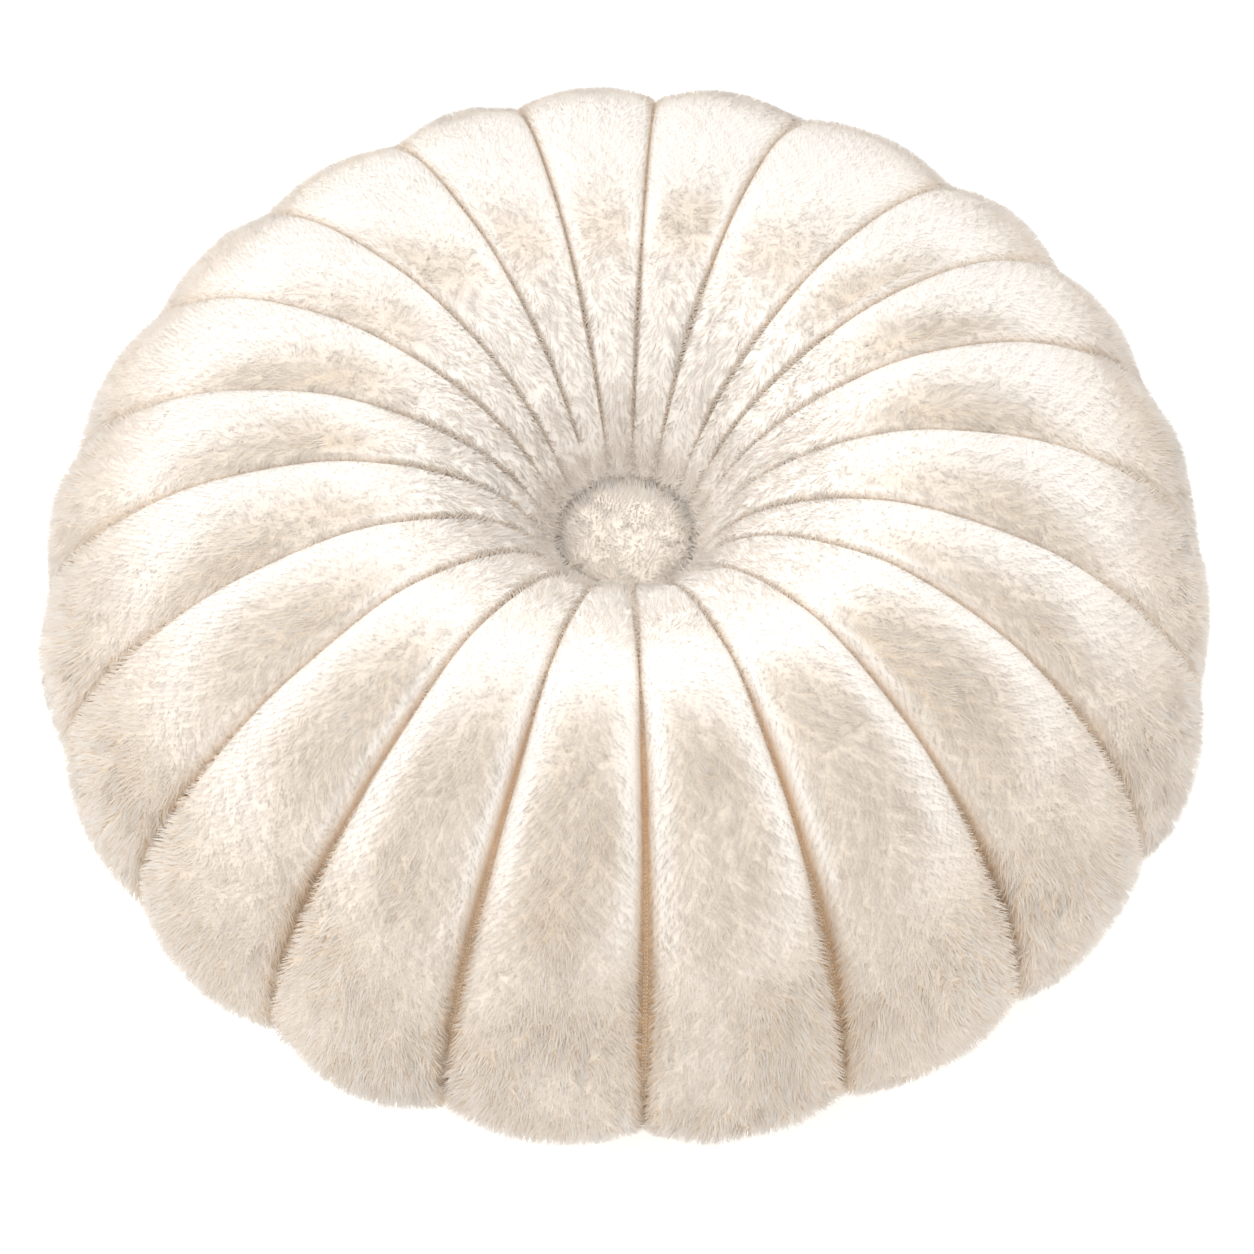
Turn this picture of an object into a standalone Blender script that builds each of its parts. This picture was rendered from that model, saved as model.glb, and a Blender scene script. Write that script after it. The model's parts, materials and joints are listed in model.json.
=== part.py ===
"""Round flower cushion: a ring of filled plush petals, sewn to each other round a covered button.

Metres, +Z up. The origin is on the floor under the middle of the cushion, and its front is towards -Y.
"""
import math

import bmesh
import bpy

MM = 0.001

# Driving sizes. The solids reach out to the tips of the pile.
OUTER_RADIUS = 250 * MM
HEIGHT = 182 * MM
WELL_HEIGHT = 90 * MM   # the floor of the sunken middle, where the button is sewn down
BUTTON_RADIUS = 30 * MM
BUTTON_THICKNESS = 17 * MM
SEWING_GAP = 0.3 * MM   # between the button and the cloth under it
SETTLE = 2.5 * MM       # how much of the round underside the floor presses flat
SETTLE_REACH = 30 * MM  # the height up to which the weight presses the petals together

# How full a petal is from seam to seam: 2 is half an ellipse, more is fuller
PETAL_FULLNESS = 2.2
# The places across a petal, from one seam, at -1, to just before the other
ACROSS = (-1.0, -0.93, -0.72, -0.4, 0.0, 0.4, 0.72, 0.93)
# How many rings of points lie between two sections
STEPS_ABOVE = 2
STEPS_UNDERNEATH = 1

# A petal's crest from the button, over the crown and round the rim, to the middle of the underside
SECTIONS = (
    # radius, as a share of OUTER_RADIUS; height, as a share of HEIGHT; depth of the seam beside it, in mm
    (0.128, 0.495, 3.0),
    (0.157, 0.684, 10.0),
    (0.240, 0.849, 16.0),
    (0.364, 0.960, 19.5),
    (0.504, 1.000, 20.5),
    (0.686, 0.945, 19.5),
    (0.850, 0.790, 17.0),
    (0.960, 0.568, 13.5),
    (1.000, 0.352, 11.0),
    (0.977, 0.205, 13.5),
    (0.894, 0.093, 15.0),
    (0.776, 0.024, 12.0),
    (0.656, 0.000, 9.0),
    (0.400, 0.000, 5.0),
    (0.176, 0.000, 0.0),
)
CROWN_SECTION = 4
RIM_SECTION = 8
REST_SECTION = 12

# One row for each petal, from the front one on the right and round by the right-hand side
PETALS = (
    # angle of its first seam at the rim and how far that seam leans round at the crown, in degrees;
    # how far its crest stands out and up from the sections above, in mm
    (1.5, 1.0, 1.0, 0.0),
    (20.3, 1.0, 1.0, 0.0),
    (39.3, 1.0, 2.0, 0.0),
    (58.0, 1.0, 2.5, 0.0),
    (75.3, -2.3, -2.0, 1.0),
    (91.8, -1.3, -2.0, 0.0),
    (109.2, -1.2, 0.0, 0.0),
    (124.5, -2.0, 0.0, 0.0),
    (140.3, -3.3, 0.0, 0.0),
    (158.0, 0.5, 0.0, -1.5),
    (176.5, 0.0, 0.0, -1.5),
    (193.0, 0.8, -1.0, -2.5),
    (207.5, 3.0, -1.0, -2.5),
    (224.5, 4.0, -1.0, -1.5),
    (241.5, 3.0, -1.0, 0.0),
    (258.5, 3.0, 0.0, 0.0),
    (273.0, 3.5, 0.0, -1.0),
    (290.0, 3.5, 1.0, 0.0),
    (307.2, 3.0, 2.0, 0.0),
    (325.2, 2.0, 2.0, 0.0),
    (343.0, 1.5, 0.0, 0.0),
)


def between(values, place):
    """A smooth curve through evenly spaced values, read at a place counted in spaces."""
    last = len(values) - 1
    index = min(int(place), last - 1)
    share = place - index
    first, second = values[index], values[index + 1]
    slope_in = (second - values[max(index - 1, 0)]) / 2
    slope_out = (values[min(index + 2, last)] - first) / 2
    return (first * (1 + 2 * share) * (1 - share) ** 2 + slope_in * share * (1 - share) ** 2
            + second * (3 - 2 * share) * share ** 2 + slope_out * (share - 1) * share ** 2)


def crest_point(place):
    """Radius and height of a petal's crest at a place along the sections."""
    radius = between([row[0] for row in SECTIONS], place) * OUTER_RADIUS
    height = between([row[1] for row in SECTIONS], place) * HEIGHT
    return radius, height


def crest_normal(place):
    """The way out of the cloth at the crest: its part along the radius and its part up."""
    step = 0.1
    start_radius, start_height = crest_point(max(place - step, 0.0))
    end_radius, end_height = crest_point(min(place + step, len(SECTIONS) - 1))
    along_radius = end_radius - start_radius
    along_height = end_height - start_height
    length = math.hypot(along_radius, along_height)
    return -along_height / length, along_radius / length


def seam_depth(place):
    """How far a seam lies under the crests beside it."""
    return max(between([row[2] for row in SECTIONS], place), 0.0) * MM


def eased(share):
    """0 to 1, with a slow start and end."""
    share = min(max(share, 0.0), 1.0)
    return share * share * (3 - 2 * share)


def lean_share(place):
    """Share of a seam's lean: all of it from the button to the crown, none from the rim on."""
    return eased((RIM_SECTION - place) / (RIM_SECTION - CROWN_SECTION))


def fullness(across):
    """1 at a petal's crest, 0 at its seams."""
    return (1 - abs(across) ** PETAL_FULLNESS) ** (1 / PETAL_FULLNESS)


def settled(height):
    """A height after the weight has pressed the underside flat."""
    return max(height - SETTLE * (1 - eased(height / SETTLE_REACH)), 0.0)


def ring(place):
    """The points of one ring round the cushion, petal by petal."""
    radius, height = crest_point(place)
    out, up = crest_normal(place)
    if place >= REST_SECTION:
        out, up = 0.0, -1.0
    depth = seam_depth(place)
    lean_here = lean_share(place)
    swell = math.sin(math.pi * min(place / REST_SECTION, 1.0))
    points = []
    for index, (seam, lean, stands_out, stands_up) in enumerate(PETALS):
        next_seam, next_lean, _, _ = PETALS[(index + 1) % len(PETALS)]
        start = seam + lean * lean_here
        width = (next_seam + next_lean * lean_here - start) % 360
        for across in ACROSS:
            angle = math.radians(start + width * (across + 1) / 2)
            full = fullness(across)
            sunk = depth * (1 - full)
            point_radius = radius - out * sunk + stands_out * MM * full * swell
            point_height = height - up * sunk + stands_up * MM * full * swell
            points.append((point_radius * math.sin(angle),
                           -point_radius * math.cos(angle),
                           settled(point_height)))
    return points


def ring_places():
    """The places along the sections where the surface has a ring."""
    places = []
    for section in range(len(SECTIONS) - 1):
        steps = STEPS_ABOVE if section < REST_SECTION else STEPS_UNDERNEATH
        places += [section + step / steps for step in range(steps)]
    return places + [len(SECTIONS) - 1]


def shell_of_rings(rings):
    """A closed mesh from rings with as many points each, the first and the last filled flat."""
    shell = bmesh.new()
    rows = [[shell.verts.new(point) for point in points] for points in rings]
    count = len(rows[0])
    for row, next_row in zip(rows, rows[1:]):
        for index in range(count):
            after = (index + 1) % count
            shell.faces.new((row[index], next_row[index], next_row[after], row[after]))
    shell.faces.new(rows[0])
    shell.faces.new(reversed(rows[-1]))
    bmesh.ops.recalc_face_normals(shell, faces=shell.faces)
    return shell


def plush(name, color):
    """A soft, matt cloth in a colour of its own."""
    material = bpy.data.materials.new(name)
    material.use_nodes = True
    shader = material.node_tree.nodes["Principled BSDF"]
    shader.inputs["Base Color"].default_value = (*color, 1.0)
    shader.inputs["Roughness"].default_value = 0.95
    shader.inputs["Metallic"].default_value = 0.0
    return material


def add_object(name, shell, material):
    """Makes an object of a finished shell, smooth but for its sharp edges."""
    mesh = bpy.data.meshes.new(name)
    shell.to_mesh(mesh)
    shell.free()
    mesh.materials.append(material)
    mesh.shade_smooth()
    mesh.set_sharp_from_angle(angle=math.radians(50))
    piece = bpy.data.objects.new(name, mesh)
    bpy.context.collection.objects.link(piece)
    return piece


def add_cushion():
    """The filled body: petals, the sewn channels between them, the sunken middle and the underside."""
    shell = shell_of_rings([ring(place) for place in ring_places()])
    return add_object("cushion", shell, plush("ivory_plush", (0.86, 0.79, 0.70)))


def button_profile():
    """Radius and height of the button's outside, from the edge of its flat back to near its top."""
    back_radius = 0.72 * BUTTON_RADIUS
    bottom = WELL_HEIGHT + SEWING_GAP
    widest = bottom + 0.38 * BUTTON_THICKNESS
    top = bottom + BUTTON_THICKNESS
    lower_steps = 3
    upper_steps = 6
    profile = []
    for step in range(lower_steps):
        angle = math.pi / 2 * step / lower_steps
        profile.append((back_radius + (BUTTON_RADIUS - back_radius) * math.sin(angle),
                        widest - (widest - bottom) * math.cos(angle)))
    for step in range(upper_steps + 1):
        angle = math.pi / 2 * step / (upper_steps + 0.5)
        profile.append((BUTTON_RADIUS * math.cos(angle), widest + (top - widest) * math.sin(angle)))
    return profile


def add_button():
    """The covered button: a padded dome with a flat back, seated on the floor of the sunken middle."""
    sides = 2 * len(PETALS)
    turns = [math.tau * side / sides for side in range(sides)]
    rings = [[(radius * math.sin(turn), -radius * math.cos(turn), height) for turn in turns]
             for radius, height in button_profile()]
    return add_object("centre_button", shell_of_rings(rings), plush("button_plush", (0.84, 0.77, 0.68)))


def main():
    """Empties the scene and builds the cushion."""
    for piece in list(bpy.data.objects):
        bpy.data.objects.remove(piece, do_unlink=True)
    add_cushion()
    add_button()


main()
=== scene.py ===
"""Looks of the round flower cushion: the plush cloth, its pile, the sewn seams and the covered button.

Metres, +Z up, the front towards -Y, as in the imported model.
"""
import json
import math

import bpy
import numpy as np
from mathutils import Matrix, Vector, kdtree

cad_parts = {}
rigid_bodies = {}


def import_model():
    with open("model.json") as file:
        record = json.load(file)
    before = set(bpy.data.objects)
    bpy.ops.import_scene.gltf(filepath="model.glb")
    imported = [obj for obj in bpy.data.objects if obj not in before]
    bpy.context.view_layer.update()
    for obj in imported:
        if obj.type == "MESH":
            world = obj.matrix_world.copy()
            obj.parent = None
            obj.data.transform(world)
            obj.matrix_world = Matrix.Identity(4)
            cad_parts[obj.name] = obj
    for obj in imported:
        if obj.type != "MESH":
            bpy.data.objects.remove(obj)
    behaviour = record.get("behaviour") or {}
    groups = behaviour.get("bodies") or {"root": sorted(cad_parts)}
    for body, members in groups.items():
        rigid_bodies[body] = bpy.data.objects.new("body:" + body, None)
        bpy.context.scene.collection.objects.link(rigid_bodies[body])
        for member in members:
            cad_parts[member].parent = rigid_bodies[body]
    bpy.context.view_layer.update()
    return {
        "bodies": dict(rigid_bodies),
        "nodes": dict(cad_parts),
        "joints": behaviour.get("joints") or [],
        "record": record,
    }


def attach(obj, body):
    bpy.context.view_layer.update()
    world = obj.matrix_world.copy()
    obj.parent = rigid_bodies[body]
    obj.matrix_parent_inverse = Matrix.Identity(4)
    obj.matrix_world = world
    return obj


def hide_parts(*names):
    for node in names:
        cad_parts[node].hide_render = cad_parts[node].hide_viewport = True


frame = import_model()

MM = 0.001

# The solids' shape, as the part's source has it
OUTER_RADIUS = 250 * MM
HEIGHT = 182 * MM
WELL_HEIGHT = 90 * MM
BUTTON_RADIUS = 30 * MM
BUTTON_THICKNESS = 17 * MM
SEWING_GAP = 0.3 * MM
SETTLE = 2.5 * MM
SETTLE_REACH = 30 * MM
PETAL_FULLNESS = 2.2
PRESSED_FULLNESS = 2.9    # where the petals press against each other, from the button to over the crown
SECTIONS = np.array((
    # radius, as a share of OUTER_RADIUS; height, as a share of HEIGHT; depth of the seam beside it, in mm
    (0.128, 0.495, 3.0),
    (0.157, 0.684, 10.0),
    (0.240, 0.849, 16.0),
    (0.364, 0.960, 19.5),
    (0.504, 1.000, 20.5),
    (0.686, 0.945, 19.5),
    (0.850, 0.790, 17.0),
    (0.960, 0.568, 13.5),
    (1.000, 0.352, 11.0),
    (0.977, 0.205, 13.5),
    (0.894, 0.093, 15.0),
    (0.776, 0.024, 12.0),
    (0.656, 0.000, 9.0),
    (0.400, 0.000, 5.0),
    (0.176, 0.000, 0.0),
))
CROWN_SECTION = 4
RIM_SECTION = 8
REST_SECTION = 12
LAST_SECTION = len(SECTIONS) - 1
PETALS = (
    # angle of its first seam at the rim and how far that seam leans round at the crown, in degrees;
    # how far its crest stands out and up from the sections above, in mm
    (1.5, 1.0, 1.0, 0.0),
    (20.3, 1.0, 1.0, 0.0),
    (39.3, 1.0, 2.0, 0.0),
    (58.0, 1.0, 2.5, 0.0),
    (75.3, -2.3, -2.0, 1.0),
    (91.8, -1.3, -2.0, 0.0),
    (109.2, -1.2, 0.0, 0.0),
    (124.5, -2.0, 0.0, 0.0),
    (140.3, -3.3, 0.0, 0.0),
    (158.0, 0.5, 0.0, -1.5),
    (176.5, 0.0, 0.0, -1.5),
    (193.0, 0.8, -1.0, -2.5),
    (207.5, 3.0, -1.0, -2.5),
    (224.5, 4.0, -1.0, -1.5),
    (241.5, 3.0, -1.0, 0.0),
    (258.5, 3.0, 0.0, 0.0),
    (273.0, 3.5, 0.0, -1.0),
    (290.0, 3.5, 1.0, 0.0),
    (307.2, 3.0, 2.0, 0.0),
    (325.2, 2.0, 2.0, 0.0),
    (343.0, 1.5, 0.0, 0.0),
)

# The cloth lies under the tips of its pile. Each pair is for smooth nap and for shaggy pile.
PILE_DEPTH = np.array((1.1, 3.9)) * MM    # from the tips down to the cloth, where a petal is wide
TUFT_LENGTH = np.array((2.9, 6.8)) * MM
TUFT_WIDTH = np.array((0.55, 0.70)) * MM
TUFT_LEAN = np.array((71.0, 46.0))        # degrees from upright
TUFT_SOFTNESS = np.array((0.92, 0.62))    # how far a tuft is shaded like the cloth under it
TUFT_PULL = np.array((0.20, 0.58))        # how far tufts are drawn together into locks
TUFT_DENSITY = np.array((0.5, 1.0))
PILE_DEPTH_SHARE = 0.15           # the pile's depth is at most this share of the petal's width
BARE_FROM, BARE_AT = 11.0, 12.0   # the sections between which the pile gives way to the bare underside
CREASE_FILLED = 0.4               # how much of a closed seam's depth the pile and the pressed cloth fill
WELL_RAISED = 8.0 * MM            # how far the pile round the button lifts the cloth at the foot of the petals
WELL_DRAWN_IN = 4.0 * MM          # and how far it is drawn in under the button's edge
SQUEEZED_IN = 2.5 * MM            # how far the petals' ends press in against the button
SEAM_TURN = 0.97                  # where a petal's cloth ends and the seam's bed begins
CLOTH_COLUMNS = 13
CLOTH_ROWS_PER_SECTION = 9

TUFTS_PER_PETAL = 10000
TUFTS_PER_LOCK = 8
TUFT_SUNK = 0.8 * MM
CLOSED_TURN, OPEN_TURN = 0.965, 0.92   # how near to a seam the pile grows, over closed and open seams
BRUSHED_TOWARDS = np.array((0.0, -0.52, 0.854))
# The seams at the front lie open and show their stitches, the others are nearly closed by the pile
OPEN_SEAMS = {0: 1.0, 1: 0.9, 2: 0.6, 3: 0.3, 18: 0.3, 19: 0.6, 20: 0.8}


def eased(share):
    """0 to 1, with a slow start and end."""
    share = np.clip(share, 0.0, 1.0)
    return share * share * (3 - 2 * share)


def blend(pair, share):
    """From the first of a pair to the second."""
    return pair[0] + (pair[1] - pair[0]) * share


def between(values, place):
    """A smooth curve through evenly spaced values, read at places counted in spaces."""
    last = len(values) - 1
    index = np.clip(place.astype(int), 0, last - 1)
    share = place - index
    first, second = values[index], values[index + 1]
    slope_in = (second - values[np.maximum(index - 1, 0)]) / 2
    slope_out = (values[np.minimum(index + 2, last)] - first) / 2
    return (first * (1 + 2 * share) * (1 - share) ** 2 + slope_in * share * (1 - share) ** 2
            + second * (3 - 2 * share) * share ** 2 + slope_out * (share - 1) * share ** 2)


def crest_point(place):
    """Radius and height of a petal's crest at places along the sections."""
    return between(SECTIONS[:, 0], place) * OUTER_RADIUS, between(SECTIONS[:, 1], place) * HEIGHT


def crest_normal(place):
    """The way out of the cloth at the crest: its part along the radius and its part up."""
    step = 0.1
    start_radius, start_height = crest_point(np.maximum(place - step, 0.0))
    end_radius, end_height = crest_point(np.minimum(place + step, LAST_SECTION))
    along_radius = end_radius - start_radius
    along_height = end_height - start_height
    length = np.hypot(along_radius, along_height)
    out, up = -along_height / length, along_radius / length
    return np.where(place >= REST_SECTION, 0.0, out), np.where(place >= REST_SECTION, -1.0, up)


def openness(petal, turn, place):
    """0 where the pile closes over the seam on that side of the crest, to 1 where the seam lies open."""
    at_rim = np.where(turn < 0, OPEN_SEAMS.get(petal, 0.0), OPEN_SEAMS.get((petal + 1) % len(PETALS), 0.0))
    return at_rim * eased((place - 3.5) / 1.3) * (1 - 0.7 * eased((place - 6.3) / 2.0))


def solid_point(petal, turn, place):
    """Points on a petal of the solid. turn runs from -1, at its first seam, over its crest to 1."""
    seam, lean, stands_out, stands_up = PETALS[petal]
    next_seam, next_lean = PETALS[(petal + 1) % len(PETALS)][:2]
    radius, height = crest_point(place)
    out, up = crest_normal(place)
    depth = np.maximum(between(SECTIONS[:, 2], place), 0.0) * MM
    lean_here = eased((RIM_SECTION - place) / (RIM_SECTION - CROWN_SECTION))
    swell = np.sin(np.pi * np.minimum(place / REST_SECTION, 1.0))
    start = seam + lean * lean_here
    width = (next_seam + next_lean * lean_here - start) % 360
    power = 2 / blend((PRESSED_FULLNESS, PETAL_FULLNESS), eased((place - 4.0) / 2.6))
    across = np.sign(turn) * np.abs(np.sin(turn * np.pi / 2)) ** power
    filled = CREASE_FILLED * (1 - openness(petal, turn, place)) * (1 - eased((place - 5.0) / 2.2))
    full = filled + (1 - filled) * np.abs(np.cos(turn * np.pi / 2)) ** power
    angle = np.radians(start + width * (across + 1) / 2)
    radius = radius - out * depth * (1 - full) + stands_out * MM * full * swell
    height = height - up * depth * (1 - full) + stands_up * MM * full * swell
    height = np.maximum(height - SETTLE * (1 - eased(height / SETTLE_REACH)), 0.0)
    height = height + WELL_RAISED * (1 - eased(place / 0.5))
    radius = radius - WELL_DRAWN_IN * (1 - eased(place / 0.6))
    return np.stack((radius * np.sin(angle), -radius * np.cos(angle), height), axis=-1)


def unit(vectors):
    """Vectors of length 1."""
    return vectors / np.maximum(np.linalg.norm(vectors, axis=-1, keepdims=True), 1e-12)


def solid_frame(petal, turn, place):
    """Point, outward normal, way across and way along towards the underside, on a petal of the solid."""
    step = 0.01
    across = (solid_point(petal, turn + step, place) - solid_point(petal, turn - step, place))
    before, after = np.maximum(place - step, 0.0), np.minimum(place + step, LAST_SECTION)
    along = solid_point(petal, turn, after) - solid_point(petal, turn, before)
    normal = unit(np.cross(along, across))
    return solid_point(petal, turn, place), normal, unit(across), unit(along)


def lattice(cells, seed):
    """A random value from 0 to 1 for each cell of a grid in space."""
    mixed = (cells[..., 0].astype(np.uint32) * np.uint32(73856093)
             ^ cells[..., 1].astype(np.uint32) * np.uint32(19349663)
             ^ cells[..., 2].astype(np.uint32) * np.uint32(83492791)
             ^ np.uint32(seed * 2654435 + 97))
    mixed = (mixed ^ (mixed >> np.uint32(13))) * np.uint32(1274126177)
    mixed = (mixed ^ (mixed >> np.uint32(16))) * np.uint32(2246822519)
    return ((mixed ^ (mixed >> np.uint32(15))) & np.uint32(0xFFFFFF)) / float(0xFFFFFF)


def waves(points, length, seed):
    """Smooth random values from -1 to 1 that change over a length in metres."""
    scaled = points / length + 1000.0
    cell = np.floor(scaled).astype(np.int64)
    share = eased(scaled - cell)
    total = 0.0
    for corner in range(8):
        offset = np.array((corner & 1, corner >> 1 & 1, corner >> 2))
        weight = np.prod(np.where(offset == 1, share, 1 - share), axis=-1)
        total = total + weight * lattice(cell + offset, seed)
    return total * 2 - 1


def petal_width(place):
    """How wide a petal of usual width is."""
    return crest_point(place)[0] * math.tau / len(PETALS)


def shagginess(point, normal, place):
    """0 where the pile is smooth nap, on the crowns, to 1 where it is brushed up, on shoulders and sides."""
    shoulders = eased((place - 5.0) / 1.9) * (1 - 0.75 * eased((place - 8.0) / 2.6))
    middle = 0.75 * (1 - eased((place - 2.2) / 1.3))
    # Faces turned this way get brushed-up pile; its darker roots and tan cloth also paint the shade seen on faces
    # turned to the front
    brushed = 0.8 * eased((normal @ BRUSHED_TOWARDS - 0.76) / 0.22)
    share = np.maximum(np.maximum(shoulders, brushed), middle)
    return np.clip(share * (0.85 + 0.3 * waves(point, 30 * MM, 41)), 0.0, 1.0)


def cloth_frame(petal, turn, place):
    """Point, normal, way across, way along and shagginess on a petal's cloth, with the filling's soft lumps."""
    point, normal, across, along = solid_frame(petal, turn, place)
    shaggy = shagginess(point, normal, place)
    depth = np.minimum(blend(PILE_DEPTH, shaggy), petal_width(place) * PILE_DEPTH_SHARE)
    depth = depth * (1 - eased((place - BARE_FROM) / (BARE_AT - BARE_FROM)))
    opened = openness(petal, turn, place)
    depth = depth * (1 - 0.85 * (1 - opened) * eased((np.abs(turn) - 0.4) / 0.35))
    depth = depth * (1 - 0.35 * opened * eased((np.abs(turn) - 0.8) / 0.15))
    pressed = eased((place - 0.05) / 0.3) * (1 - eased((place - 0.45) / 0.7)) * (1 - np.abs(turn) ** 3)
    depth = depth - SQUEEZED_IN * pressed
    lumps = 0.8 * waves(point, 45 * MM, 11) + 0.35 * waves(point, 17 * MM, 12)
    depth = depth - lumps * MM * (1 - eased((place - 9) / 2)) * (1 - 0.7 * eased((np.abs(turn) - 0.5) / 0.3))
    return point - normal * depth[..., None], normal, across, along, shaggy


def add_piece(name, points, faces, material, smooth=True, normals=None, values=None, uvs=None):
    """Makes a piece of arrays: points, faces of equal size, values per point and places on the map per corner."""
    mesh = bpy.data.meshes.new(name)
    sides = faces.shape[1]
    mesh.vertices.add(len(points))
    mesh.vertices.foreach_set("co", points.astype(np.float32).ravel())
    mesh.loops.add(faces.size)
    mesh.loops.foreach_set("vertex_index", faces.astype(np.int32).ravel())
    mesh.polygons.add(len(faces))
    mesh.polygons.foreach_set("loop_start", np.arange(len(faces), dtype=np.int32) * sides)
    mesh.update(calc_edges=True)
    for key, array in (values or {}).items():
        mesh.attributes.new(key, "FLOAT", "POINT").data.foreach_set("value", array.astype(np.float32))
    if uvs is not None:
        layer = mesh.uv_layers.new(name="OFBake")
        layer.uv.foreach_set("vector", uvs.astype(np.float32).ravel())
    if smooth:
        mesh.shade_smooth()
    if normals is not None:
        mesh.normals_split_custom_set_from_vertices(normals)
    mesh.materials.append(material)
    piece = bpy.data.objects.new(name, mesh)
    bpy.context.collection.objects.link(piece)
    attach(piece, "root")
    return piece


# Materials

class Nodes:
    """A material's node tree, built one node at a time."""

    def __init__(self, name):
        self.material = bpy.data.materials.new(name)
        self.material.use_nodes = True
        self.tree = self.material.node_tree
        self.shader = self.tree.nodes["Principled BSDF"]

    def add(self, kind, inputs=None, **settings):
        node = self.tree.nodes.new(kind)
        for key, value in settings.items():
            setattr(node, key, value)
        for key, value in (inputs or {}).items():
            if isinstance(value, bpy.types.NodeSocket):
                self.tree.links.new(value, node.inputs[key])
            else:
                node.inputs[key].default_value = value
        return node

    def ramp(self, value, stops):
        """Colours between stops of (place, colour)."""
        node = self.add("ShaderNodeValToRGB", {"Fac": value})
        elements = node.color_ramp.elements
        while len(elements) < len(stops):
            elements.new(0.5)
        for element, (place, color) in zip(elements, stops):
            element.position = place
            element.color = (*color, 1.0)
        return node.outputs["Color"]

    def noise(self, scale, detail=3.0, stretch=None, roughness=0.5):
        """Fine unevenness over the object, in grains per metre."""
        place = self.add("ShaderNodeTexCoord").outputs["Object"]
        if stretch:
            place = self.add("ShaderNodeMapping", {"Vector": place, "Scale": stretch}).outputs["Vector"]
        node = self.add("ShaderNodeTexNoise",
                        {"Vector": place, "Scale": scale, "Detail": detail, "Roughness": roughness})
        return node.outputs["Fac"]

    def attribute(self, name):
        return self.add("ShaderNodeAttribute", attribute_name=name).outputs["Fac"]

    def mix(self, share, first, second, how="MIX"):
        node = self.add("ShaderNodeMix", data_type="RGBA", blend_type=how)
        for index, value in ((0, share), (6, first), (7, second)):
            if isinstance(value, bpy.types.NodeSocket):
                self.tree.links.new(value, node.inputs[index])
            elif index == 0:
                node.inputs[index].default_value = value
            else:
                node.inputs[index].default_value = (*value, 1.0)
        return node.outputs[2]

    def finish(self, color, roughness, sheen, sheen_roughness, sheen_tint, bump=None, specular=0.2):
        """Sets the shader: colour and bump from nodes, the rest on its own sockets."""
        shader = self.shader
        self.tree.links.new(color, shader.inputs["Base Color"])
        shader.inputs["Roughness"].default_value = roughness
        shader.inputs["Specular IOR Level"].default_value = specular
        shader.inputs["Sheen Weight"].default_value = sheen
        shader.inputs["Sheen Roughness"].default_value = sheen_roughness
        shader.inputs["Sheen Tint"].default_value = (*sheen_tint, 1.0)
        if bump:
            height, strength, distance = bump
            node = self.add("ShaderNodeBump", {"Height": height, "Strength": strength, "Distance": distance})
            self.tree.links.new(node.outputs["Normal"], shader.inputs["Normal"])
        return self.material


# The pile's colours from root to tip: the darker, warmer root colour is painted shade low in the pile
ROOT_SHADE = (0.80, 0.60, 0.41)
MIDDLE = (0.965, 0.885, 0.80)
TIP = (0.985, 0.95, 0.905)


def pile_material(name, root, middle, tip):
    """Pile: darker and warmer at its roots, as painted shade low in the pile, ivory at its tips, each tuft a little
    different.
    """
    nodes = Nodes(name)
    strand = nodes.ramp(nodes.attribute("strand"), ((0.0, root), (0.44, middle), (1.0, tip)))
    # Random differences between tufts, with painted light in the well and painted shade on the crowns
    tone_and_painted_light = nodes.ramp(nodes.attribute("tone_and_painted_light"), ((0.0, (0.865, 0.81, 0.75)), (1.0, (1.0, 1.0, 1.0))))
    color = nodes.mix(1.0, strand, tone_and_painted_light, "MULTIPLY")
    # Painted shade in the creases: tufts near the seams darker and warmer
    crease_tan_and_shade = nodes.ramp(nodes.attribute("crease_tan_and_shade"), ((0.0, (1.0, 1.0, 1.0)), (1.0, (0.975, 0.875, 0.755))))
    color = nodes.mix(1.0, color, crease_tan_and_shade, "MULTIPLY")
    patches = nodes.ramp(nodes.noise(28.0, 2.0), ((0.35, (0.985, 0.97, 0.95)), (0.65, (1.0, 1.0, 1.0))))
    color = nodes.mix(1.0, color, patches, "MULTIPLY")
    return nodes.finish(color, 0.9, 0.06, 0.5, (1.0, 0.95, 0.9), specular=0.05)


def cloth_material(name, low, high):
    """The knitted back of the plush with the roots of its pile: tan, partly its own colour and partly painted shade
    between the tufts.
    """
    nodes = Nodes(name)
    grain = nodes.noise(900.0, 3.0)
    color = nodes.ramp(grain, ((0.35, low), (0.65, high)))
    # Towards the tips' colour where the nap is smooth, and painted lighter in the well round the button
    color = nodes.mix(nodes.attribute("smooth_nap_and_well_light"), color, TIP)
    # The seams' beds: the backing's tan and painted shade in the creases
    crease_tan_and_shade = nodes.ramp(nodes.attribute("crease_tan_and_shade"), ((0.0, (1.0, 1.0, 1.0)), (1.0, (0.82, 0.64, 0.46))))
    color = nodes.mix(1.0, color, crease_tan_and_shade, "MULTIPLY")
    return nodes.finish(color, 0.95, 0.05, 0.6, (1.0, 0.95, 0.9), (grain, 0.3, 0.3 * MM), 0.05)


def thread_material():
    """Matt sewing thread in the seams."""
    nodes = Nodes("seam_thread")
    fibre = nodes.noise(2500.0, 2.0)
    color = nodes.ramp(fibre, ((0.3, (0.84, 0.74, 0.60)), (0.7, (0.96, 0.89, 0.78))))
    return nodes.finish(color, 0.8, 0.1, 0.5, (1.0, 0.95, 0.9), (fibre, 0.4, 0.2 * MM))


pile = pile_material("ivory_pile", ROOT_SHADE, MIDDLE, TIP)
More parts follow.
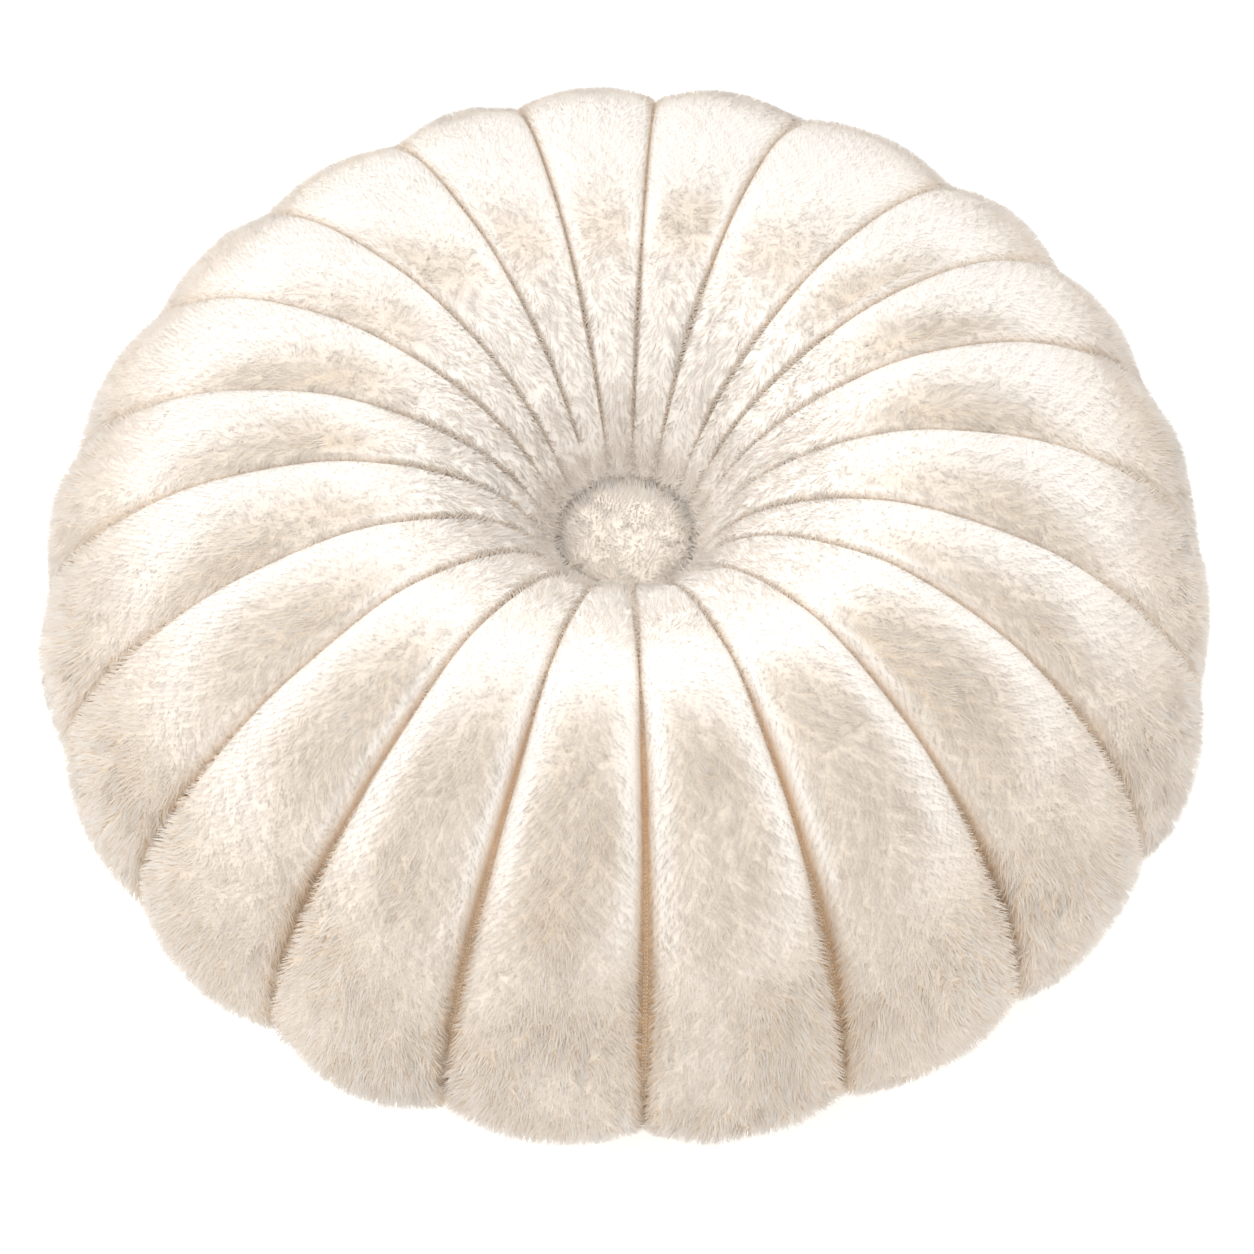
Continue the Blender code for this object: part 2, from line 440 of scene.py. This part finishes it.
# The cloth's tan is partly its own colour, partly painted shade between the tufts
cloth = cloth_material("ivory_cloth", (0.74, 0.60, 0.45), (0.87, 0.76, 0.63))
thread = thread_material()
# Lighter copies of the pile and cloth for the button: painted light against the shade of the well it sits in
lightened_button_pile = pile_material("lightened_button_pile", (0.95, 0.85, 0.735), (0.99, 0.95, 0.90), (0.995, 0.98, 0.95))
button_cloth = cloth_material("button_cloth", (0.93, 0.85, 0.74), (0.98, 0.93, 0.86))


# The cushion's cloth

def cloth_rows():
    """The places along the sections where the cloth has a row of points."""
    above = np.arange(0, REST_SECTION, 1 / CLOTH_ROWS_PER_SECTION)
    return np.concatenate((above, np.arange(REST_SECTION, LAST_SECTION + 0.1, 0.5)))


def petal_grid(petal, turns, places):
    """The cloth of one petal on a grid: rows along the sections, columns from seam to seam."""
    return cloth_frame(petal, *np.broadcast_arrays(turns[None, :], places[:, None]))


def add_cloth():
    """All petals, the beds of the seams between them, the floor of the sunken middle and the underside."""
    places = cloth_rows()
    turns = np.linspace(-SEAM_TURN, SEAM_TURN, CLOTH_COLUMNS)
    grids = [petal_grid(petal, turns, places) for petal in range(len(PETALS))]
    grid = np.concatenate([points for points, _, _, _, _ in grids], axis=1)
    # Painted light: in the well round the button the cloth takes the tips' light colour against the shade there;
    # elsewhere it does so where the nap is smooth
    inner = 1 - eased((places - 2.6) / 1.4)[:, None]
    smooth = np.concatenate([np.maximum(1 - shaggy, inner) for _, _, _, _, shaggy in grids], axis=1).ravel()
    grid[..., 2] = np.maximum(grid[..., 2], 0.0)
    rows, columns = grid.shape[:2]
    number = np.arange(rows * columns).reshape(rows, columns)
    after = np.roll(number, -1, axis=1)
    quads = np.stack((number[:-1], number[1:], after[1:], after[:-1]), axis=-1).reshape(-1, 4)
    triangles = np.concatenate((quads[:, (0, 1, 2)], quads[:, (0, 2, 3)]))
    points = grid.reshape(-1, 3)
    top, bottom = len(points), len(points) + 1
    points = np.concatenate((points, ((0.0, 0.0, WELL_HEIGHT),), grid[-1:].mean(axis=1)))
    top_fan = np.stack((np.full(columns, top), number[0], after[0]), axis=-1)
    bottom_fan = np.stack((np.full(columns, bottom), after[-1], number[-1]), axis=-1)
    faces = np.concatenate((triangles, top_fan, bottom_fan))
    opened = np.concatenate([openness(petal, turns[None, :], places[:, None]) for petal in range(len(PETALS))], axis=1)
    # The seams' beds, tan with painted crease shade, more where a seam lies open
    bed = np.tile(eased((np.abs(turns) - 0.75) / 0.2), len(PETALS))[None, :] * (places < 11)[:, None]
    crease_tan_and_shade = (bed * (0.45 + 0.55 * opened)).ravel()
    piece = add_piece("cushion_cloth", points, faces, cloth,
                      values={"crease_tan_and_shade": np.append(crease_tan_and_shade, (0.0, 0.0)),
                              "smooth_nap_and_well_light": np.append(smooth * 0.9, (0.0, 0.0))})
    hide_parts("cushion")
    return piece


# The pile

def even_places(count, seed):
    """Evenly spread pairs of numbers from 0 to 1."""
    step = np.arange(1, count + 1)[:, None] * np.array((0.7548776662466927, 0.5698402909980532))
    return (step + np.array((0.137, 0.618)) * seed) % 1.0


def spread_over_petal(petal, count, seed):
    """Evenly spread places on a petal's cloth: turn and place of each."""
    side = np.linspace(-1, 1, 41)
    places = np.linspace(0.05, BARE_AT, 160)
    reach = blend((CLOSED_TURN, OPEN_TURN), openness(petal, side[None, :], places[:, None]))
    turns = side * reach
    points, _, _, _, shaggy = cloth_frame(petal, turns, np.broadcast_to(places[:, None], turns.shape))
    sides = np.linalg.norm(np.diff(points, axis=1), axis=-1)[:-1] + 1e-9
    ends = np.linalg.norm(np.diff(points, axis=0), axis=-1)[:, :-1]
    middle_place = (places[:-1] + places[1:]) / 2
    share = sides * ends * blend(TUFT_DENSITY, shaggy[:-1, :-1])
    share = share * (1 - 0.75 * eased((middle_place - 10.2) / 1.6))[:, None]
    rows = np.concatenate(((0.0,), np.cumsum(share.sum(axis=1))))
    first, second = even_places(count, seed).T
    place = np.interp(first * rows[-1], rows, places)
    row = np.clip(np.searchsorted(places, place) - 1, 0, len(places) - 2)
    columns = np.concatenate((np.zeros((len(share), 1)), np.cumsum(share, axis=1)), axis=1)
    columns /= columns[:, -1:]
    column = np.clip((columns[row] <= second[:, None]).sum(axis=1) - 1, 0, len(side) - 2)
    low, high = columns[row, column], columns[row, column + 1]
    turn = blend((turns[row, column], turns[row, column + 1]), (second - low) / np.maximum(high - low, 1e-9))
    return turn, place


def spikes(roots, tips, normals, widths, random, softness):
    """Closed three-sided tufts from their roots to their tips: points, faces, soft normals."""
    count = len(roots)
    way = unit(tips - roots)
    side = unit(np.cross(way, normals + 0.01))
    other = np.cross(way, side)
    spin = random.random(count)[:, None] * math.tau
    corners = []
    for corner in range(3):
        angle = spin + corner * math.tau / 3
        corners.append(roots + (side * np.cos(angle) + other * np.sin(angle)) * widths[:, None] / 2)
    points = np.stack((*corners, tips), axis=1)
    outward = unit(np.concatenate((unit(points[:, :3] - roots[:, None]), way[:, None]), axis=1))
    soft = unit(outward * (1 - softness) + normals[:, None] * softness)
    base = np.arange(count)[:, None, None] * 4
    faces = base + np.array(((0, 1, 3), (1, 2, 3), (2, 0, 3), (0, 2, 1)))[None]
    return points.reshape(-1, 3), faces.reshape(-1, 3), soft.reshape(-1, 3)


def spike_map(count):
    """Places on the baking map: a cell for each tuft, and in it a strip for each face."""
    side = math.ceil(math.sqrt(count))
    cell = 1.0 / side
    index = np.arange(count)
    corner = np.stack((index % side, index // side), axis=-1)[:, None, None] * cell
    inner = np.array((
        ((0.04, 0.08), (0.30, 0.08), (0.17, 0.92)),
        ((0.37, 0.08), (0.63, 0.08), (0.50, 0.92)),
        ((0.70, 0.08), (0.96, 0.08), (0.83, 0.92)),
        ((0.24, 0.95), (0.43, 0.95), (0.335, 0.70)),
    ))
    return (corner + inner[None] * cell).reshape(-1, 2)


def combed(frame, turn, place, petal, jitter):
    """How tufts run from their roots to their tips: down the slopes and away from the crest."""
    root, normal, across, along, shaggy = frame
    opened = openness(petal, turn, place)
    closing = (1 - opened) * eased((np.abs(turn) - 0.45) / 0.4)
    down = np.tanh((place - 3.6) * 1.1)
    aside = (0.65 * turn + 0.35 * waves(root, 50 * MM, 27)) * (1 - 0.7 * closing)
    swirl_along = 0.35 * waves(root, 34 * MM, 21) + 0.65 * waves(root, 7 * MM, 22)
    swirl_across = 0.35 * waves(root, 34 * MM, 23) + 0.65 * waves(root, 7 * MM, 24)
    flow = unit(along * (down + swirl_along + jitter[:, 0])[:, None]
                + across * (aside + swirl_across + jitter[:, 1])[:, None])
    lean = blend(TUFT_LEAN, shaggy) + blend((5, 14), shaggy) * waves(root, 19 * MM, 25)
    lean = lean + blend((7, 18), shaggy) * jitter[:, 2]
    lean = lean + 10 * eased((3.5 - place) / 2) - 40 * eased((0.9 - place) / 0.6)
    lean = lean - 22 * closing * eased((5.5 - place) / 2)
    lean = np.radians(lean)[:, None]
    length = blend(TUFT_LENGTH, shaggy) * (1 + 0.16 * waves(root, 16 * MM, 26) + 0.22 * jitter[:, 2])
    length = length * np.clip(petal_width(place) / (14 * MM), 0.8, 1.0)
    length = length * (1 - 0.45 * opened * eased((np.abs(turn) - 0.72) / 0.18))
    return (normal * np.cos(lean) + flow * np.sin(lean)) * length[:, None]


def petal_pile(petal):
    """The pile of one petal, in small locks."""
    random = np.random.default_rng(100 + petal)
    turn, place = spread_over_petal(petal, TUFTS_PER_PETAL, petal + 1)
    tuft_frame = cloth_frame(petal, turn, place)
    root, normal, _, _, shaggy = tuft_frame
    jitter = random.normal(0.0, 0.42, (len(root), 3)).clip(-0.9, 0.9)
    own = combed(tuft_frame, turn, place, petal, jitter)

    lock_turn, lock_place = spread_over_petal(petal, TUFTS_PER_PETAL // TUFTS_PER_LOCK, petal + 51)
    lock_frame = cloth_frame(petal, lock_turn, lock_place)
    lock_root = lock_frame[0]
    lock_jitter = random.normal(0.0, 0.35, (len(lock_root), 3)).clip(-0.9, 0.9)
    lock_way = combed(lock_frame, lock_turn, lock_place, petal, lock_jitter)
    tree = kdtree.KDTree(len(lock_root))
    for index, point in enumerate(lock_root):
        tree.insert(point, index)
    tree.balance()
    lock = np.array([tree.find(point)[1] for point in root])

    pull = (blend(TUFT_PULL, shaggy) + 0.15 * random.random(len(root)))[:, None]
    tip = root + own * (1 - pull) + (lock_way[lock] + (lock_root[lock] - root) * 0.45) * pull
    tip[:, 2] = np.maximum(tip[:, 2], 0.1 * MM)
    width = blend(TUFT_WIDTH, shaggy) * (0.8 + 0.4 * random.random(len(root)))
    crest = cloth_frame(petal, np.zeros(len(root)), place)[1]
    closing = (1 - openness(petal, turn, place)) * eased((np.abs(turn) - 0.5) / 0.45)
    lit = unit(normal + crest * 1.1 * closing[:, None]
               + np.array((0.0, 0.0, 1.2)) * (1 - eased(place / 1.2))[:, None])
    points, faces, soft = spikes(root - normal * TUFT_SUNK, tip, lit, width, random,
                                 blend(TUFT_SOFTNESS, shaggy)[:, None, None])
    # Painted shade and light at the roots: the dark root colour shows where the pile is shaggy, and roots are painted
    # lighter on the smooth nap and in the well round the button
    root_value = np.maximum(0.6 * (1 - shaggy), 0.08 + 0.22 * (1 - eased((place - 4.6) / 1.2)))
    strand = np.stack((root_value, root_value, root_value, np.ones(len(root))), axis=-1).ravel()
    # Random per tuft and per lock where the pile is shaggy; painted lighter in the well round the button and darker on
    # the smooth nap of the crowns, where the light falls most
    tone_and_painted_light = 0.62 + shaggy * (0.16 * random.standard_normal(len(root)) + 0.55 * lock_jitter[lock, 0])
    tone_and_painted_light = tone_and_painted_light + 0.08 * (1 - eased((place - 2) / 1.5)) - 0.3 * (1 - shaggy)
    tone_and_painted_light = np.clip(tone_and_painted_light, 0, 1)
    # Painted shade in the creases: tufts near a seam are coloured darker and warmer
    crease_tan_and_shade = eased((np.abs(turn) - 0.6) / 0.32)
    return add_piece(f"petal_pile_{petal + 1:02d}", points, faces, pile, normals=soft,
                     values={"strand": strand, "tone_and_painted_light": np.repeat(tone_and_painted_light, 4), "crease_tan_and_shade": np.repeat(crease_tan_and_shade, 4)},
                     uvs=spike_map(len(root)))


# The seams

STITCH_PITCH = 1.55 * MM
STITCH_LENGTH = 1.7 * MM
STITCH_WIDTH = 0.95 * MM
STITCH_ROW_GAP = 1.35 * MM


def add_stitches():
    """Two rows of small slanting stitches in the bed of every seam."""
    all_points, all_faces = [], []
    places = np.linspace(0.3, 11.6, 400)
    edge = np.ones(len(places)) * SEAM_TURN
    for petal in range(len(PETALS)):
        before = cloth_frame((petal - 1) % len(PETALS), edge, places)[0]
        after = cloth_frame(petal, -edge, places)[0]
        line = (before + after) / 2
        run = np.concatenate(((0.0,), np.cumsum(np.linalg.norm(np.diff(line, axis=0), axis=-1))))
        stations = np.arange(STITCH_PITCH, run[-1], STITCH_PITCH)
        middle = np.stack([np.interp(stations, run, line[:, axis]) for axis in range(3)], axis=-1)
        along = unit(np.stack([np.gradient(middle[:, axis]) for axis in range(3)], axis=-1))
        sideways = np.stack([np.interp(stations, run, (after - before)[:, axis]) for axis in range(3)], axis=-1)
        room = np.linalg.norm(sideways, axis=-1)
        sideways = unit(sideways - along * (sideways * along).sum(axis=-1, keepdims=True))
        up = unit(np.cross(sideways, along))
        up *= np.sign((up * unit(middle - np.array((0.0, 0.0, 60 * MM)))).sum(axis=-1, keepdims=True))
        gap = np.minimum(STITCH_ROW_GAP, room * 0.35)[:, None]
        for row in (-1, 1):
            slant = unit(along + sideways * 0.75 * row)
            cross = unit(np.cross(up, slant))
            centre = middle + sideways * gap * row / 2 + up * 0.25 * MM
            half_width = (gap / STITCH_ROW_GAP) * STITCH_WIDTH / 2
            ring = [centre + cross * half_width * math.cos(turn) + up * half_width * 0.9 * math.sin(turn)
                    for turn in (math.radians(90), math.radians(210), math.radians(330))]
            points = np.stack((centre - slant * STITCH_LENGTH / 2, *ring, centre + slant * STITCH_LENGTH / 2),
                              axis=1)
            base = np.arange(len(centre))[:, None, None] * 5 + sum(len(block) for block in all_points)
            all_faces.append((base + np.array(((0, 2, 1), (0, 3, 2), (0, 1, 3),
                                               (4, 1, 2), (4, 2, 3), (4, 3, 1)))[None]).reshape(-1, 3))
            all_points.append(points.reshape(-1, 3))
    return add_piece("seam_stitches", np.concatenate(all_points), np.concatenate(all_faces), thread)


# The covered button

BUTTON_PILE_DEPTH = 2.2 * MM
BUTTON_TUFTS = 3200


def button_frame(turn, share):
    """Point and normal on the button's cloth. share runs from 0, at the top, to 1, under its widest part."""
    top_share = 0.8
    angle = np.minimum(share / top_share, 1.0) * math.pi / 2
    under = np.clip((share - top_share) / (1 - top_share), 0.0, 1.0) * math.pi / 2
    bottom = WELL_HEIGHT + SEWING_GAP
    widest = bottom + 0.38 * BUTTON_THICKNESS
    rise = BUTTON_THICKNESS * 0.62 - BUTTON_PILE_DEPTH + 2 * MM
    wide = BUTTON_RADIUS - BUTTON_PILE_DEPTH
    back = 0.72 * BUTTON_RADIUS
    radius = np.where(share <= top_share, wide * np.sin(angle), back + (wide - back) * np.cos(under))
    height = np.where(share <= top_share, widest + rise * np.cos(angle),
                      widest - (widest - bottom) * np.sin(under))
    out = np.where(share <= top_share, np.sin(angle) / wide, np.cos(under) / wide)
    up = np.where(share <= top_share, np.cos(angle) / rise, -np.sin(under) / (widest - bottom))
    normal = unit(np.stack((out * np.sin(turn), -out * np.cos(turn), up), axis=-1))
    return np.stack((radius * np.sin(turn), -radius * np.cos(turn), height), axis=-1), normal


def add_button():
    """The button's cloth: a padded dome with a flat back, and its pile."""
    sides = 48
    shares = np.concatenate((np.linspace(0.06, 0.8, 14), np.linspace(0.85, 1.0, 4)))
    turns = np.arange(sides) * math.tau / sides
    grid, _ = button_frame(*np.broadcast_arrays(turns[None, :], shares[:, None]))
    rows = len(shares)
    number = np.arange(rows * sides).reshape(rows, sides)
    after = np.roll(number, -1, axis=1)
    quads = np.stack((number[:-1], number[1:], after[1:], after[:-1]), axis=-1).reshape(-1, 4)
    triangles = np.concatenate((quads[:, (0, 1, 2)], quads[:, (0, 2, 3)]))
    summit, _ = button_frame(np.zeros(1), np.zeros(1))
    points = np.concatenate((grid.reshape(-1, 3), summit, grid[-1:].mean(axis=1)))
    top, bottom = rows * sides, rows * sides + 1
    top_fan = np.stack((np.full(sides, top), number[0], after[0]), axis=-1)
    bottom_fan = np.stack((np.full(sides, bottom), after[-1], number[-1]), axis=-1)
    piece = add_piece("button_cloth", points, np.concatenate((triangles, top_fan, bottom_fan)), button_cloth)
    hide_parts("centre_button")

    random = np.random.default_rng(7)
    index = np.arange(BUTTON_TUFTS)
    share = np.sqrt((index + 0.5) / BUTTON_TUFTS) * 0.93
    turn = index * math.pi * (3 - math.sqrt(5))
    root, normal = button_frame(turn, share)
    outward = np.stack((np.sin(turn), -np.cos(turn), np.zeros(len(turn))), axis=-1)
    outward = unit(outward - normal * (outward * normal).sum(axis=-1, keepdims=True))
    aside = np.cross(normal, outward)
    jitter = random.normal(0.0, 0.3, (len(root), 3)).clip(-0.8, 0.8)
    edge = eased((share - 0.55) / 0.3)
    flow = unit(outward * (1.3 * edge[:, None] + jitter[:, :1] + 1.5 * waves(root, 5 * MM, 31)[:, None])
                + aside * (jitter[:, 1:2] + 1.5 * waves(root, 5 * MM, 32)[:, None]))
    lean = np.radians(36 + 18 * waves(root, 6 * MM, 33) + 14 * jitter[:, 2] + 28 * edge)[:, None]
    length = ((4.6 + 5.5 * edge) * (1 + 0.25 * jitter[:, 2]))[:, None] * MM
    tip = root + (normal * np.cos(lean) + flow * np.sin(lean)) * length
    lit = unit(normal + np.array((0.0, 0.0, 1.2)) * edge[:, None])
    points, faces, soft = spikes(root - normal * TUFT_SUNK, tip, lit,
                                 0.75 * MM * (0.8 + 0.4 * random.random(len(root))), random, 0.85)
    strand = np.tile((0.0, 0.0, 0.0, 1.0), len(root))
    tone_and_painted_light = np.repeat(np.clip(0.5 + 0.3 * random.standard_normal(len(root)), 0, 1), 4)
    add_piece("button_tufts", points, faces, lightened_button_pile, normals=soft,
              values={"strand": strand, "tone_and_painted_light": tone_and_painted_light}, uvs=spike_map(len(root)))


# The studio

def add_studio():
    """A plain pale floor, soft light and the camera."""
    nodes = Nodes("studio_floor")
    shade = nodes.ramp(nodes.noise(2.0, 1.0), ((0.0, (0.94, 0.94, 0.94)), (1.0, (0.95, 0.95, 0.95))))
    nodes.shader.inputs["Emission Color"].default_value = (1.0, 1.0, 1.0, 1.0)
    nodes.shader.inputs["Emission Strength"].default_value = 0.25
    floor_material = nodes.finish(shade, 0.9, 0.0, 0.5, (1, 1, 1), specular=0.1)
    mesh = bpy.data.meshes.new("studio_floor")
    half = 8.0
    mesh.from_pydata([(-half, -half, 0), (half, -half, 0), (half, half, 0), (-half, half, 0)], [], [(0, 1, 2, 3)])
    mesh.materials.append(floor_material)
    floor = bpy.data.objects.new("studio_floor", mesh)
    floor.location.z = -0.3 * MM
    bpy.context.collection.objects.link(floor)

    world = bpy.data.worlds.new("studio")
    world.use_nodes = True
    background = world.node_tree.nodes["Background"]
    tent = world.node_tree.nodes
    links = world.node_tree.links
    height = tent.new("ShaderNodeSeparateXYZ")
    links.new(tent.new("ShaderNodeTexCoord").outputs["Generated"], height.inputs[0])
    ramp = tent.new("ShaderNodeValToRGB")
    stops = ((0.0, 1.3), (0.28, 1.0), (0.42, 0.36), (0.56, 0.33), (0.74, 0.56), (1.0, 0.84))
    while len(ramp.color_ramp.elements) < len(stops):
        ramp.color_ramp.elements.new(0.5)
    for element, (place, shade) in zip(ramp.color_ramp.elements, stops):
        element.position = place
        element.color = (shade, shade, shade, 1.0)
    links.new(height.outputs["Z"], ramp.inputs["Fac"])
    links.new(ramp.outputs["Color"], background.inputs["Color"])
    background.inputs["Strength"].default_value = 1.27
    bpy.context.scene.world = world

    for name, place, energy in (("softbox_front", (-0.45, -1.0, 1.85), 8.0),
                                ("softbox_left", (-1.7, 0.0, 1.0), 10.0),
                                ("softbox_right", (1.7, -0.2, 0.9), 6.0),
                                ("softbox_back", (0.2, 1.8, 0.9), 4.0)):
        key = bpy.data.lights.new(name, "AREA")
        key.shape = "DISK"
        key.size = 1.6
        key.energy = energy
        key.color = (1.0, 0.98, 0.955)
        lamp = bpy.data.objects.new(name, key)
        lamp.location = place
        lamp.rotation_euler = (Vector((0, 0, 0.08)) - lamp.location).to_track_quat("-Z", "Y").to_euler()
        bpy.context.collection.objects.link(lamp)
    spot = bpy.data.lights.new("well_light", "SPOT")
    spot.spot_size = math.radians(13)
    spot.spot_blend = 1.0
    spot.shadow_soft_size = 0.07
    spot.energy = 22.0
    spot.color = (1.0, 0.97, 0.94)
    lamp = bpy.data.objects.new("well_light", spot)
    lamp.location = (0.0, -0.1, 1.6)
    lamp.rotation_euler = (Vector((0, 0.0, 0.1)) - lamp.location).to_track_quat("-Z", "Y").to_euler()
    bpy.context.collection.objects.link(lamp)

    camera_data = bpy.data.cameras.new("camera")
    camera_data.sensor_width = 36.0
    camera_data.lens = 36.0 * 2703.555 / 1254
    camera = bpy.data.objects.new("camera", camera_data)
    elevation = 1.02585
    distance = 1.15
    target = Vector((0.0, -0.02198, 0.0625))
    back = Vector((0.0, -math.cos(elevation), math.sin(elevation)))
    camera.location = target + back * distance
    camera.rotation_euler = (-back).to_track_quat("-Z", "Y").to_euler()
    bpy.context.collection.objects.link(camera)
    bpy.context.scene.camera = camera
    bpy.context.scene.view_settings.view_transform = "Standard"
    bpy.context.scene.cycles.diffuse_bounces = 10


add_cloth()
for petal in range(len(PETALS)):
    petal_pile(petal)
add_stitches()
add_button()
add_studio()
